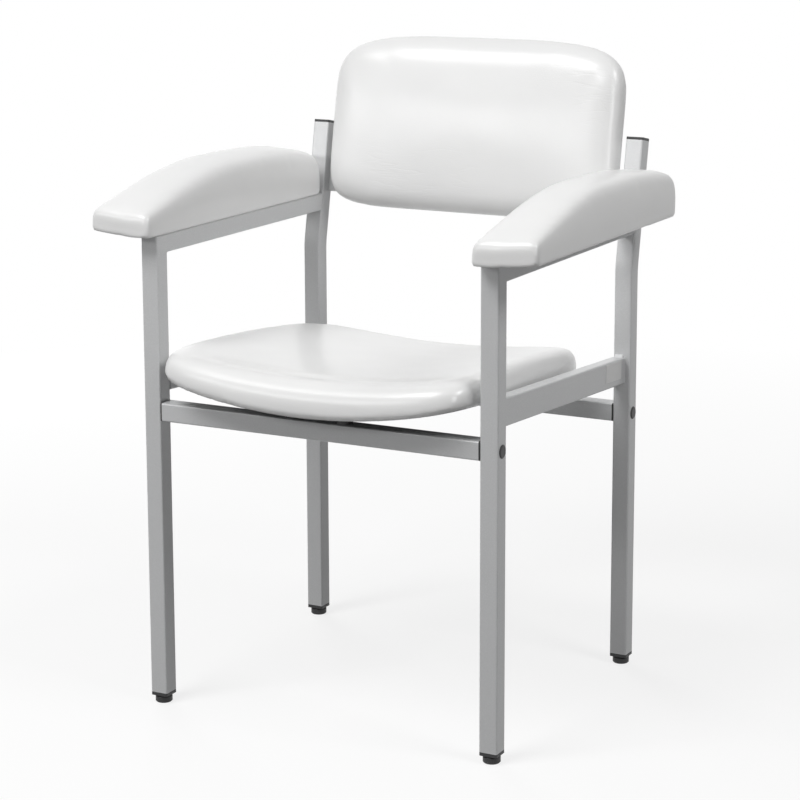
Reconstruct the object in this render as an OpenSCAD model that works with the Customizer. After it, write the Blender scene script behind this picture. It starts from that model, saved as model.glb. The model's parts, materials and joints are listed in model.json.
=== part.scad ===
// Phlebotomy chair: two welded side frames, two bolted crossbars, padded seat,
// backrest and arm pads. Origin on the floor below the middle of the chair,
// +Z up, the sitter faces -Y, so the sitter's left is +X.

/* [Frame] */
// Outer width over the two side frames
frame_w = 562; // [540:1:640]
// Front faces of the front legs to front faces of the rear legs
leg_pitch = 466; // [455:1:520]
// Outer side of the square tube
tube = 27; // [22:1:28]
// Wall of every tube
wall = 2; // [1.5:0.5:3]
// Outer corner radius of every tube
tube_r = 2.5; // [2:0.1:4]
// Top of the arm rails above the floor
arm_rail_top = 697.5; // [660:0.5:740]
// Height at which the back posts start to lean
lean_z = 618; // [600:1:640]
// Backward lean of the posts and the backrest
lean = 11; // [5:0.5:15]
// Centreline radius of the bend in the back posts
bend_r = 100; // [60:5:120]
// Length of the leaning part of the back posts
post_len = 194; // [175:1:220]
// Thickness of the caps on the back posts
cap_t = 4; // [3:0.5:6]
// Stem of the caps inside the back posts
cap_stem = 12; // [8:1:20]

/* [Seat side rails] */
// Height of the tube of the side rails
rail_h = 40; // [30:1:45]
// Width of the tube of the side rails
rail_w = 20; // [15:1:22]
// Distance of the rails from the legs' outer faces
rail_inset = 8; // [4:0.5:9]
// Top of the rails at the front legs
rail_front_top = 509.5; // [480:0.5:530]
// Top of the rails at the rear legs
rail_rear_top = 483.5; // [460:0.5:510]
// Leg of the weld beads
weld = 4; // [2:0.5:5]
// Length of the blank label
label_len = 58; // [30:1:70]
// Height of the blank label
label_h = 28; // [15:1:30]
// Thickness of the blank label
label_t = 0.4; // [0.2:0.1:1]
// Distance of the blank label from the rear leg
label_gap = 16; // [5:1:40]

/* [Crossbars] */
// Top of the front crossbar above the floor
front_bar_top = 455; // [440:1:458]
// Top of the rear crossbar above the floor
rear_bar_top = 410; // [380:1:415]
// Flange of the crossbars' end plugs
bar_flange = 2; // [1.5:0.5:4]
// Stem of the crossbars' end plugs
bar_stem = 22; // [16:1:30]
// Diameter of the crossbar bolts
bolt_d = 8; // [6:1:8]
// Head diameter of the crossbar bolts
bolt_head_d = 13; // [12:0.5:14]
// Head height of the crossbar bolts
bolt_head_h = 5; // [4:0.5:6]
// Diameter of the access holes in the legs
access_d = 16; // [15:0.5:17]
// Diameter of the plugs over the access holes
hole_plug_d = 19; // [18:0.5:21]
// Thickness of the plugs over the access holes
hole_plug_t = 1.8; // [1.5:0.1:3]
// Stem of the plugs over the access holes
hole_plug_stem = 5; // [3:0.5:8]

/* [Feet] */
// Thickness of the square plug flanges under the legs
foot_flange = 5; // [3:0.5:7]
// Stem of the square plugs inside the legs
foot_stem = 24; // [20:1:30]
// Core diameter of the square plugs
foot_core_d = 14; // [12:1:16]
// Diameter of the levelling feet
foot_d = 25; // [20:1:28]
// Height of the levelling feet below the plugs
foot_h = 11.5; // [9:0.5:15]
// Bevel round the bottom of the levelling feet
foot_bevel = 1.5; // [0.5:0.5:3]
// Diameter of the threaded studs
stud_d = 8; // [6:1:8]
// Length of the studs above the feet
stud_len = 24; // [18:1:28]

/* [Seat] */
// Gap between the seat and the side rails
seat_side_gap = 3; // [1:0.5:20]
// Front edge of the seat in front of the legs
seat_front = 50; // [40:1:60]
// Gap between the seat and the front faces of the rear legs
seat_rear_gap = 27; // [20:1:40]
// Underside of the seat above the floor at the front legs
seat_base_z = 467; // [466:0.5:480]
// Downward slope of the seat to the rear
seat_slope = 3.7; // [3:0.1:4.5]
// Thickness of the seat at its front and rear edges
seat_t = 50; // [44:1:60]
// Extra thickness in the middle of the seat
seat_crown = 8; // [4:1:16]
// Rise of the seat's top from its middle to its sides
seat_top_dish = 22; // [12:1:26]
// Radius of the seat board across its width
seat_dish_r = 900; // [850:10:1400]
// Backward sweep of the seat's front edge at its corners
seat_sweep = 6; // [0:1:30]
// Narrowing of each side of the seat at the rear
seat_narrowing = 16; // [0:1:40]
// Depth of the seam behind the front roll
seat_crease = 3.5; // [0:0.5:6]
// Width of the rounding round the seat's top
seat_edge = 27; // [20:1:34]
// Thickness of the seat board
seat_board_t = 12; // [10:1:15]
// Distance of the seat's front screws from the middle of the chair
front_screw_x = 40; // [30:5:80]
// Distance of the seat's rear screws from the middle of the chair
rear_screw_x = 120; // [90:5:150]
// Diameter of the seat's spacers
spacer_d = 24; // [20:1:26]
// Width of the brackets on the rear crossbar
bracket_w = 30; // [26:1:40]
// Thickness of the brackets on the rear crossbar
bracket_t = 4; // [3:0.5:5]
// Height of the rear spacers on the brackets
rear_spacer_h = 9; // [6:1:14]

/* [Backrest] */
// Gap between the backrest and the back posts
back_side_gap = 7.5; // [4:0.5:20]
// Bottom edge of the backrest above the bend, along the posts
back_low = 65; // [50:1:75]
// Top edge of the backrest above the bend, along the posts
back_high = 340; // [320:1:350]
// Thickness of the backrest at its edges
back_t = 38; // [32:1:44]
// Extra thickness in the middle of the backrest
back_crown = 9; // [4:1:16]
// Rear of the backrest's sides behind the posts' front faces
back_rear = 14; // [10:0.5:16]
// Forward bow of the sides of the backrest
back_bow = 12; // [6:1:16]
// Width of the rounding round the backrest's front
back_edge = 31; // [22:1:36]
// Thickness of the backrest's board
back_board_t = 10; // [9:1:14]
// Thickness of the panel behind the backrest
panel_t = 3; // [2:0.5:4]
// Thickness of the tabs that carry the backrest
tab_t = 4; // [3:0.5:5]
// Distance of the tabs' screws from the back posts
tab_reach = 71; // [70:1:84]
// Lower screws of the tabs above the bend, along the posts
low_screw_s = 98; // [97:1:110]
// Upper screws of the tabs above the bend, along the posts
high_screw_s = 128; // [118:1:150]
// Margin of the tabs above and below their screws
tab_margin = 12; // [8:1:16]

/* [Arm pads] */
// Width of the arm pads
pad_w = 100; // [85:1:110]
// Inner edge of the arm pads inside the arm rails' inner faces
pad_inset = 4; // [0:0.5:10]
// Front end of the arm pads in front of the legs
pad_front = 28; // [10:1:40]
// Gap between the arm pads and the back posts
pad_gap = 7; // [3:0.5:16]
// Corner radius of the arm pads
pad_r = 8; // [6:1:20]
// Bow of the arm pads' short ends
pad_bow = 1; // [0.5:0.5:3]
// Height of the arm pads at their front end
pad_low = 34; // [28:1:44]
// Height of the arm pads at the crest
pad_high = 84; // [70:1:95]
// Distance of the crest from the front end
pad_ramp = 265; // [200:5:300]
// Height lost from the crest to the rear end
pad_fall = 19; // [10:1:30]
// Rise of the pads' underside to their outer edge
pad_lift = 6; // [0:0.5:8]
// Rise of the pads' top to their outer edge
pad_tilt = 6; // [0:0.5:10]
// Width of the rounding round the arm pads' top
pad_edge = 18; // [14:1:24]
// Thickness of the arm pads' boards
pad_board_t = 12; // [10:1:14]
// Front screw of an arm pad behind the leg's front face
pad_screw_a = 90; // [60:5:140]
// Rear screw of an arm pad in front of the rear leg
pad_screw_b = 76; // [50:2:120]

/* [Upholstery] */
// Thickness of the vinyl covers
cover_t = 1.5; // [1:0.1:2]
// Clearance between a cover and what it encloses
cover_gap = 0.35; // [0.3:0.05:0.5]
// Clearance between a turned-in cover and its board
board_gap = 0.8; // [0.7:0.05:0.9]
// Width of the cover that is turned under a board
hem = 22; // [18:1:24]
// Distance of a board's edge from the cover's outline
board_inset = 9.5; // [9:0.5:12]
// Thickness of the underside linings
lining_t = 1.2; // [0.8:0.1:1.5]
// Diameter of the upholstery screws
screw_d = 6; // [5:1:6]
// Head diameter of the upholstery screws
screw_head_d = 11; // [10:0.5:12]
// Head height of the upholstery screws
screw_head_h = 3.5; // [3:0.5:4]
// Diameter of the holes through which those screws are reached
driver_d = 13; // [12.5:0.5:15]
// Diameter of the threaded inserts in the boards
insert_d = 9.5; // [9:0.1:10]
// Length of the threaded inserts in the boards
insert_len = 8; // [6:0.5:9]

/* [Hidden] */

$fn = 48;
// One overrun for every cut
over = 1;
// Clearance between parts that slide into each other
slip = 0.1;
// Radial clearance of a screw thread, drawn as a plain bore
thread_gap = 0.05;
// Radial clearance of a through hole
hole_gap = 0.3;
// Gap that keeps curved faces from touching
face_gap = 0.2;
// Length of the tips on studs and screws
tip = 1;
// Swelling of the posts' walls in the bend
bend_swell = 0.05;

frame_half = frame_w / 2;
leg_base = foot_h + foot_flange;
tube_in = tube - 2 * wall;
tube_x = frame_half - tube / 2;
inner_x = frame_half - tube;
bend_run = (bend_r + tube / 2) * tan(lean / 2);
bend_start = lean_z - bend_run;
rail_angle = atan((rail_front_top - rail_rear_top) / (leg_pitch - tube));
rail_x = frame_half - rail_inset - rail_w / 2;
seat_half_w = rail_x - rail_w / 2 - seat_side_gap;
back_half_w = inner_x - back_side_gap;

// The chair reaches from the seat's front edge to the top of the panel behind the backrest
seat_nose_share = 0.22;
seat_nose = seat_front * cos(seat_slope) - seat_nose_share * seat_t * sin(seat_slope);
back_tail = (back_high - 2 * board_inset) * sin(lean)
    + (back_rear + back_bow + panel_t + face_gap / 2) * cos(lean);
front_y = (seat_nose - leg_pitch - back_tail) / 2;
rear_y = front_y + leg_pitch;
big = 2 * leg_pitch;

front_bar_y = front_y + tube / 2;
rear_bar_y = rear_y + tube / 2;
front_bar_z = front_bar_top - tube / 2;
rear_bar_z = rear_bar_top - tube / 2;

white = [0.91, 0.91, 0.90];
silver = [0.68, 0.69, 0.70];
steel = [0.55, 0.56, 0.58];
black = [0.08, 0.08, 0.08];
wood = [0.78, 0.64, 0.45];
foam = [0.93, 0.86, 0.62];

// Outlines and small helpers

module round_rect(w, h, r) {
    square([w - 2 * r, h], center = true);
    square([w, h - 2 * r], center = true);
    for (x = [-1, 1], y = [-1, 1])
        translate([x * (w / 2 - r), y * (h / 2 - r)]) circle(r);
}

// Section of a tube whose wall swells by swell on both sides
module tube_section(w, h, swell = 0) {
    difference() {
        round_rect(w + 2 * swell, h + 2 * swell, tube_r + swell);
        square([w - 2 * wall - 2 * swell, h - 2 * wall - 2 * swell], center = true);
    }
}

module along_x(d, len) {
    rotate([0, 90, 0]) cylinder(d = d, h = len);
}

module right_side() {
    mirror([1, 0, 0]) children();
}

// Narrow hole through the top wall of a tube, wide hole below it for the screwdriver
module screw_bores() {
    translate([0, 0, -wall - over])
        cylinder(d = screw_d + 2 * hole_gap, h = wall + 2 * over);
    translate([0, 0, -tube - over]) cylinder(d = driver_d, h = wall + 2 * over);
}

// A straight weld bead along X; its corners are given as [y, z]
module weld_bead(x, w, corners) {
    translate([x - w / 2, 0, 0]) rotate([90, 0, 90]) linear_extrude(w) polygon(corners);
}

// The leaning frame of the upper posts: y behind their front faces, z along them
module post_frame() {
    translate([0, rear_y, lean_z]) rotate([-lean, 0, 0]) children();
}

// Side frames

// Wide hole through the outer wall, narrow hole through the inner wall
module bolt_bores(y, z) {
    translate([frame_half - wall - over, y, z]) along_x(access_d, wall + 2 * over);
    translate([inner_x - over, y, z]) along_x(bolt_d + 2 * hole_gap, wall + 2 * over);
}

module front_leg() {
    color(silver) difference() {
        translate([tube_x, front_bar_y, leg_base])
            linear_extrude(arm_rail_top - leg_base) tube_section(tube, tube);
        translate([inner_x - over, front_y, arm_rail_top]) rotate([-45, 0, 0])
            cube([tube + 2 * over, 2 * tube, 2 * tube]);
        bolt_bores(front_bar_y, front_bar_z);
    }
}

module back_post() {
    color(silver) difference() {
        union() {
            translate([tube_x, rear_bar_y, leg_base])
                linear_extrude(bend_start - leg_base + over) tube_section(tube, tube);
            translate([tube_x, rear_bar_y + bend_r, bend_start]) {
                rotate([90, 0, -90]) rotate_extrude(angle = lean)
                    translate([bend_r, 0]) tube_section(tube, tube, bend_swell);
                rotate([-lean, 0, 0]) translate([0, -bend_r, -over])
                    linear_extrude(post_len - bend_run + over) tube_section(tube, tube);
            }
        }
        bolt_bores(rear_bar_y, rear_bar_z);
    }
}

module arm_rail() {
    color(silver) {
        difference() {
            translate([tube_x, front_y, arm_rail_top - tube / 2]) rotate([-90, 0, 0])
                linear_extrude(leg_pitch + 2 * tube) tube_section(tube, tube);
            translate([inner_x - over, front_y, arm_rail_top]) rotate([-45, 0, 0])
                translate([0, -tube, -2 * tube]) cube([tube + 2 * over, 4 * tube, 2 * tube]);
            post_frame() translate([-big / 2, 0, -big / 2]) cube(big);
            at_pad_screws() screw_bores();
        }
        weld_bead(tube_x, tube - 2 * tube_r, [[front_y + tube, arm_rail_top - tube],
            [front_y + tube, arm_rail_top - tube - weld],
            [front_y + tube + weld, arm_rail_top - tube]]);
    }
}

module seat_rail() {
    mid_z = (rail_front_top + rail_rear_top) / 2 - rail_h / 2 / cos(rail_angle);
    color(silver) {
        intersection() {
            translate([rail_x, (front_y + tube + rear_y) / 2, mid_z]) rotate([90 - rail_angle, 0, 0])
                translate([0, 0, -leg_pitch / 2])
                    linear_extrude(leg_pitch) tube_section(rail_w, rail_h);
            translate([0, front_y + tube, rail_rear_top - 2 * rail_h])
                cube([frame_half, leg_pitch - tube, rail_front_top - rail_rear_top + 3 * rail_h]);
        }
        weld_bead(rail_x, rail_w - 3 * tube_r, [[rear_y, rail_rear_top - wall / 2],
            [rear_y, rail_rear_top + weld],
            [rear_y - weld, rail_rear_top + weld * tan(rail_angle)],
            [rear_y - weld, rail_rear_top - wall / 2]]);
    }
}

module post_cap() {
    color(black) post_frame() translate([tube_x, tube / 2, post_len]) {
        linear_extrude(cap_t) round_rect(tube, tube, tube_r);
        translate([0, 0, -cap_stem]) linear_extrude(cap_stem)
            square(tube_in - 2 * slip, center = true);
    }
}

module side_label() {
    back = label_gap + label_len / 2;
    color(white) translate([frame_half - rail_inset, rear_y - back,
        rail_rear_top - rail_h / 2 + back * tan(rail_angle) + weld])
        rotate([-rail_angle, 0, 0]) rotate([90, 0, 90])
            linear_extrude(label_t) round_rect(label_len, label_h, tube_r);
}

// Crossbars

module crossbar(y, z) {
    len = 2 * (inner_x - bar_flange);
    translate([-len / 2, y, z]) rotate([90, 0, 90]) linear_extrude(len) tube_section(tube, tube);
}

module front_crossbar() {
    color(silver) difference() {
        crossbar(front_bar_y, front_bar_z);
        for (s = [-1, 1])
            translate([s * front_screw_x, front_bar_y, front_bar_top]) screw_bores();
    }
}

module rear_crossbar() {
    color(silver) crossbar(rear_bar_y, rear_bar_z);
}

module at_bolts() {
    for (s = [0, 1], p = [[front_bar_y, front_bar_z], [rear_bar_y, rear_bar_z]])
        mirror([s, 0, 0]) translate([0, p[0], p[1]]) children();
}

module crossbar_end_plugs() {
    color(black) at_bolts() difference() {
        union() {
            translate([inner_x - bar_flange, 0, 0]) rotate([90, 0, 90])
                linear_extrude(bar_flange) round_rect(tube, tube, tube_r);
            translate([inner_x - bar_flange - bar_stem, 0, 0]) rotate([90, 0, 90])
                linear_extrude(bar_stem) square(tube_in - 2 * slip, center = true);
        }
        translate([inner_x - bar_flange - bar_stem - over, 0, 0])
            along_x(bolt_d + 2 * thread_gap, bar_flange + bar_stem + 2 * over);
    }
}

module crossbar_bolts() {
    head_x = inner_x + wall;
    grip = wall + bar_flange + bar_stem - bolt_d / 2;
    socket_d = bolt_head_d / 2;
    color(steel) at_bolts() {
        translate([head_x - grip, 0, 0]) along_x(bolt_d, grip);
        difference() {
            translate([head_x, 0, 0]) along_x(bolt_head_d, bolt_head_h);
            translate([head_x + bolt_head_h / 2, 0, 0]) rotate([0, 90, 0])
                cylinder(d = socket_d, h = bolt_head_h, $fn = 6);
        }
    }
}

module bolt_hole_plugs() {
    r = hole_plug_d / 2;
    color(black) at_bolts() translate([frame_half, 0, 0]) rotate([0, 90, 0]) rotate_extrude()
        polygon([[0, -hole_plug_stem], [access_d / 2 - slip - tip, -hole_plug_stem],
            [access_d / 2 - slip, tip - hole_plug_stem], [access_d / 2 - slip, 0], [r, 0],
            [r, hole_plug_t / 3], [r - hole_plug_t, hole_plug_t], [0, hole_plug_t]]);
}

// Feet

module leg_plug(y) {
    ribs = 4;
    rib_t = foot_stem / (2 * ribs);
    color(black) translate([tube_x, y, leg_base]) difference() {
        union() {
            translate([0, 0, -foot_flange]) linear_extrude(foot_flange)
                round_rect(tube, tube, tube_r);
            cylinder(d = foot_core_d, h = foot_stem);
            for (i = [0:ribs - 1])
                translate([0, 0, 2 * i * rib_t]) linear_extrude(rib_t)
                    square(tube_in - 2 * slip, center = true);
        }
        translate([0, 0, -foot_flange - over])
            cylinder(d = stud_d + 2 * thread_gap, h = foot_flange + foot_stem + 2 * over);
    }
}

module foot(y) {
    r = foot_d / 2;
    color(black) translate([tube_x, y, 0]) rotate_extrude()
        polygon([[0, 0], [r - foot_bevel, 0], [r, foot_bevel], [r, foot_h - 2 * foot_bevel],
            [r - 2 * foot_bevel, foot_h], [stud_d / 2, foot_h], [stud_d / 2, foot_h / 2],
            [0, foot_h / 2]]);
}

module stud(y) {
    top = foot_h / 2 + stud_len;
    color(steel) translate([tube_x, y, foot_h / 2]) rotate_extrude()
        polygon([[0, 0], [stud_d / 2, 0], [stud_d / 2, top - tip], [stud_d / 2 - tip, top], [0, top]]);
}

// Padded forms
// An outline is a list of [x, y]. A profile is a list of [inset, height, crease]:
// how far a ring lies inside the outline, its share of the height between the
// lower and the upper surface, and its share of the crease.

function mix(a, b, t) = a + (b - a) * t;

// Height at x of a dish of radius r, or of the surface h inside it
function arc_rise(x, r, h) = r - sqrt((r - h) * (r - h) - x * x);

// Point of the unit superellipse of power n; its corners lie at 45 degrees
function unit_corner(t, n) =
    let (r = pow(pow(abs(cos(t)), n) + pow(abs(sin(t)), n), -1 / n)) [r * cos(t), r * sin(t)];

// Angle of point i of count, from the rear middle, crowded towards the corners
function crowded_angle(i, count) = let (t = 360 * i / count) 90 + t + 9 * sin(4 * t);

function flatten(lists) = [for (l = lists) each l];

// Profile that starts at a hem and follows a table of shares of an edge's width
function edge_profile(width, edge, shares) =
    concat([[width, 0, 0]], [for (s = shares) [s[0] * edge, s[1], s[2]]]);

function ring(outline, centre, half, inset) = [for (p = outline)
    [mix(centre[0], p[0], 1 - inset / half[0]), mix(centre[1], p[1], 1 - inset / half[1])]];

// Outward normal of a profile at ring j, as [outwards, upwards]
function profile_normal(profile, j, h) =
    let (last = len(profile) - 1, a = profile[max(j - 1, 0)], b = profile[min(j + 1, last)],
        out = a[0] - b[0], up = (b[1] - a[1]) * h, l = norm([out, up]))
    j == 0 ? [0, -1] : j == last ? [0, 1] : [up / l, -out / l];

// Rings of a profile from ring first on, moved inwards by depth; low, high and
// crease are functions of a point
function form_rings(outline, centre, half, profile, h, first, depth, low, high, crease) =
    [for (j = [first:len(profile) - 1])
        let (n = profile_normal(profile, j, h), share = profile[j][1], fold = profile[j][2])
        [for (p = ring(outline, centre, half, profile[j][0] + depth * n[0]))
            [p[0], p[1], mix(low(p), high(p), share) - fold * crease(p) - depth * n[1]]]];

// Rings on a floor, which is a function of a point
function floor_rings(outline, centre, half, insets, floor) =
    [for (inset = insets) [for (p = ring(outline, centre, half, inset)) [p[0], p[1], floor(p)]]];

// Triangles between ring a and ring b
function band(count, a, b) = [for (i = [0:count - 1])
    let (k = (i + 1) % count) each [[a * count + i, b * count + i, b * count + k],
        [a * count + i, b * count + k, a * count + k]]];

// Strips over ring j between the points on either side of point start, on whose
// axis the ring is symmetric
function cap(count, j, start, up) = [for (i = [0:count / 2 - 1])
    let (o = j * count, a = o + (start + i) % count, b = o + (start + i + 1) % count,
        c = o + (start - i + count) % count, d = o + (start - i - 1 + count) % count)
    each [if (a != c) up ? [a, c, b] : [a, b, c], if (b != d) up ? [b, c, d] : [b, d, c]]];

// Closed solid of rings, with a cap below and above
module solid_form(rings, start) {
    count = len(rings[0]);
    n = len(rings);
    polyhedron(flatten(rings), concat(flatten([for (j = [0:n - 2]) band(count, j, j + 1)]),
        cap(count, 0, start, false), cap(count, n - 1, start, true)));
}

// Open shell: outer rings up to their cap, inner rings back down to the hem
module shell_form(outer, inner, start) {
    count = len(outer[0]);
    n = len(outer);
    down = [for (j = [0:n - 1]) inner[n - 1 - j]];
    bands = [for (j = [0:2 * n - 1]) if (j != n - 1) band(count, j, (j + 1) % (2 * n))];
    polyhedron(concat(flatten(outer), flatten(down)),
        concat(flatten(bands), cap(count, n - 1, start, true), cap(count, n, start, false)));
}

// A piece without a crease
smooth = function(p) 0;

// Seat

seat_depth = seat_front + (leg_pitch - seat_rear_gap) / cos(seat_slope);
seat_half = [seat_half_w, seat_depth / 2];
seat_centre = [0, seat_depth / 2 - seat_front];
seat_front_power = 9;
seat_rear_power = 5.5;
seat_count = 40;
seat_outline = [for (i = [0:seat_count - 1])
    let (t = crowded_angle(i, seat_count),
        u = unit_corner(t, mix(seat_front_power, seat_rear_power, (1 + sin(t)) / 2)),
        back = (1 + u[1]) / 2)
    [u[0] * (seat_half[0] - seat_narrowing * back * back),
        seat_centre[1] + u[1] * seat_half[1] + seat_sweep * u[0] * u[0] * (1 - back)]];
seat_edge_shares = [[0.3, 0, 0], [0.07, 0.07, 0], [0, seat_nose_share, 0], [0.05, 0.52, 0],
    [0.22, 0.76, 0], [0.52, 0.92, 0], [1, 1, 0], [1.5, 1, 0.6], [1.9, 1, 1], [2.4, 1, 0.3],
    [4.4, 1, 0]];
seat_profile = edge_profile(hem, seat_edge, seat_edge_shares);
seat_floor_shares = [0.48, 0.24];
board_lift = cover_t + board_gap;
foam_depth = cover_t + 2 * cover_gap;
seat_foam_lift = board_lift + seat_board_t + cover_gap;

seat_low = function(p) arc_rise(p[0], seat_dish_r, 0);
seat_foam_floor = function(p) arc_rise(p[0], seat_dish_r, seat_foam_lift);
seat_high = function(p)
    let (v = (p[1] - seat_centre[1]) / seat_half[1], across = p[0] / seat_half_w)
    seat_t + seat_crown * (1 - v * v) + seat_top_dish * across * across;
seat_seam = function(p) seat_crease / (1 + exp(4 * p[1] / seat_front));

// The seat's own frame: y from the legs' front faces, z from the underside
module seat_frame() {
    translate([0, front_y, seat_base_z]) rotate([-seat_slope, 0, 0]) children();
}

// Dished slab between two heights above the seat's underside, inside an inset outline
module seat_slab(inset, z_low, z_high) {
    intersection() {
        translate([0, 0, -over]) linear_extrude(2 * seat_t)
            polygon(ring(seat_outline, seat_centre, seat_half, inset));
        difference() {
            seat_cylinder(seat_dish_r - z_low, over);
            seat_cylinder(seat_dish_r - z_high, 2 * over);
        }
    }
}

module seat_cylinder(r, extra) {
    translate([0, seat_centre[1], seat_dish_r]) rotate([90, 0, 0])
        cylinder(r = r, h = seat_depth + 2 * extra, center = true, $fn = 180);
}

front_screw_y = front_bar_y;
rear_screw_y = rear_y - seat_rear_gap - hem - spacer_d / 2;
bracket_front = rear_screw_y - spacer_d / 2 - face_gap;

// Height of the seat's underside at a point of the chair
function seat_under(x, y) =
    seat_base_z - (y - front_y) * tan(seat_slope) + arc_rise(x, seat_dish_r, 0) / cos(seat_slope);

bracket_top = seat_under(rear_screw_x, rear_screw_y) - rear_spacer_h;

// Places of the seat's spacers: x, y and foot; and below it the wall under the spacer
seat_screw_places = [[front_screw_x, front_screw_y, front_bar_top, wall],
    [rear_screw_x, rear_screw_y, bracket_top, bracket_t]];

module at_seat_screws() {
    for (s = [0, 1], p = seat_screw_places)
        mirror([s, 0, 0]) translate([p[0], p[1], 0]) children();
}

module seat_screw_bores(d) {
    at_seat_screws() translate([0, 0, seat_base_z - 2 * seat_t])
        cylinder(d = d, h = 4 * seat_t);
}

module seat_board() {
    color(wood) difference() {
        seat_frame() seat_slab(board_inset, board_lift, board_lift + seat_board_t);
        seat_screw_bores(insert_d + 2 * slip);
    }
}

module seat_foam() {
    insets = concat(seat_floor_shares * seat_half_w, [board_inset]);
    color(foam) seat_frame() solid_form(concat(
        floor_rings(seat_outline, seat_centre, seat_half, insets, seat_foam_floor),
        form_rings(seat_outline, seat_centre, seat_half, seat_profile, seat_t, 4,
            foam_depth, seat_low, seat_high, seat_seam)), seat_count / 4);
}

module seat_cover() {
    color(white) seat_frame() shell_form(
        form_rings(seat_outline, seat_centre, seat_half, seat_profile, seat_t, 0,
            0, seat_low, seat_high, seat_seam),
        form_rings(seat_outline, seat_centre, seat_half, seat_profile, seat_t, 0,
            cover_t, seat_low, seat_high, seat_seam), seat_count / 4);
}

module seat_lining() {
    color(black) difference() {
        seat_frame() seat_slab(hem + face_gap, 0, lining_t);
        seat_screw_bores(screw_d + 2 * hole_gap);
    }
}

// Cylinders round the seat's screws, cut off by the seat's underside
module seat_spacers() {
    color(black) for (s = [0, 1], p = seat_screw_places) mirror([s, 0, 0]) difference() {
        translate([p[0], p[1], p[2]]) cylinder(d = spacer_d, h = seat_t);
        seat_frame() seat_cylinder(seat_dish_r + face_gap, seat_t);
        translate([p[0], p[1], p[2] - over])
            cylinder(d = screw_d + 2 * hole_gap, h = seat_t + 2 * over);
    }
}

module seat_brackets() {
    foot_y = rear_y + tube - tube_r;
    color(silver) for (s = [0, 1]) mirror([s, 0, 0]) difference() {
        translate([rear_screw_x - bracket_w / 2, 0, 0]) rotate([90, 0, 90])
            linear_extrude(bracket_w) polygon([
                [foot_y, rear_bar_top], [foot_y, rear_bar_top + bracket_t],
                [rear_y + tube_r + bracket_t, rear_bar_top + bracket_t],
                [rear_y + tube_r + bracket_t, bracket_top], [bracket_front, bracket_top],
                [bracket_front, bracket_top - bracket_t],
                [rear_y + tube_r, bracket_top - bracket_t], [rear_y + tube_r, rear_bar_top]]);
        translate([rear_screw_x, rear_screw_y, bracket_top - bracket_t - over])
            cylinder(d = screw_d + 2 * hole_gap, h = bracket_t + 2 * over);
    }
}

// Screw along +Z: its head below z = 0, its shank up to z = len
module screw(len) {
    translate([0, 0, -screw_head_h]) difference() {
        cylinder(d = screw_head_d, h = screw_head_h);
        translate([0, 0, -over]) cylinder(d = screw_d * 0.6, h = over + screw_head_h / 2, $fn = 6);
    }
    cylinder(d = screw_d, h = len);
}

module insert() {
    difference() {
        cylinder(d = insert_d, h = insert_len);
        translate([0, 0, -over]) cylinder(d = screw_d + 2 * thread_gap, h = insert_len + 2 * over);
    }
}

// Lower end of the inserts above the seat's underside at x, clear of its slope
function insert_base(x) = board_lift + insert_d / 2 * (x / seat_dish_r + tan(seat_slope));

module seat_screws() {
    color(steel) for (s = [0, 1], p = seat_screw_places)
        mirror([s, 0, 0]) translate([p[0], p[1], p[2] - p[3]])
            screw(seat_under(p[0], p[1]) + insert_base(p[0]) + insert_len - tip - p[2] + p[3]);
}

module seat_inserts() {
    color(steel) for (s = [0, 1], p = seat_screw_places) mirror([s, 0, 0])
        translate([p[0], p[1], seat_under(p[0], p[1]) + insert_base(p[0])]) insert();
}

// Backrest

back_half = [back_half_w, (back_high - back_low) / 2];
back_centre = [0, (back_high + back_low) / 2];
back_top_power = 4;
back_low_power = 8;
back_count = 36;
back_dish_r = (back_half_w * back_half_w + back_bow * back_bow) / (2 * back_bow);
back_outline = [for (i = [0:back_count - 1])
    let (t = crowded_angle(i, back_count),
        u = unit_corner(t, mix(back_low_power, back_top_power, (1 + sin(t)) / 2)))
    [u[0] * back_half[0], back_centre[1] + u[1] * back_half[1]]];
back_edge_shares = [[0.26, 0, 0], [0.06, 0.06, 0], [0, 0.22, 0], [0.05, 0.45, 0],
    [0.19, 0.66, 0], [0.45, 0.84, 0], [0.84, 0.96, 0], [1.4, 1, 0], [3, 1, 0]];
back_profile = edge_profile(hem, back_edge, back_edge_shares);
back_floor_shares = [0.38, 0.2];
back_foam_lift = board_lift + back_board_t + cover_gap;

back_low_face = function(p) arc_rise(p[0], back_dish_r, 0);
back_foam_floor = function(p) arc_rise(p[0], back_dish_r, back_foam_lift);
back_high_face = function(p)
    let (u = p[0] / back_half[0], v = (p[1] - back_centre[1]) / back_half[1])
    back_low_face(p) + back_t + back_crown * (1 - u * u) * (1 - v * v);

// The backrest's own frame: y along the posts, z forwards from its rear face
module back_frame() {
    post_frame() translate([0, back_rear + back_bow, 0]) rotate([90, 0, 0]) children();
}

module back_slab(inset, z_low, z_high) {
    intersection() {
        translate([0, 0, -2 * back_bow]) linear_extrude(2 * back_t + 2 * back_bow)
            polygon(ring(back_outline, back_centre, back_half, inset));
        difference() {
            back_cylinder(back_dish_r - z_low, over);
            back_cylinder(back_dish_r - z_high, 2 * over);
        }
    }
}

module back_cylinder(r, extra) {
    translate([0, back_centre[1], back_dish_r]) rotate([90, 0, 0])
        cylinder(r = r, h = 2 * back_half[1] + 2 * extra, center = true, $fn = 360);
}

tab_screw_x = inner_x - tab_reach;
tab_end = tab_screw_x - screw_head_d;
tab_angle = asin(tab_screw_x / back_dish_r);
// The tabs lie on the panel at their screws, square to them
tab_depth = panel_t + face_gap;
tab_z = function(x, depth) back_dish_r - (back_dish_r + depth) / cos(tab_angle) + x * tan(tab_angle);

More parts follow.
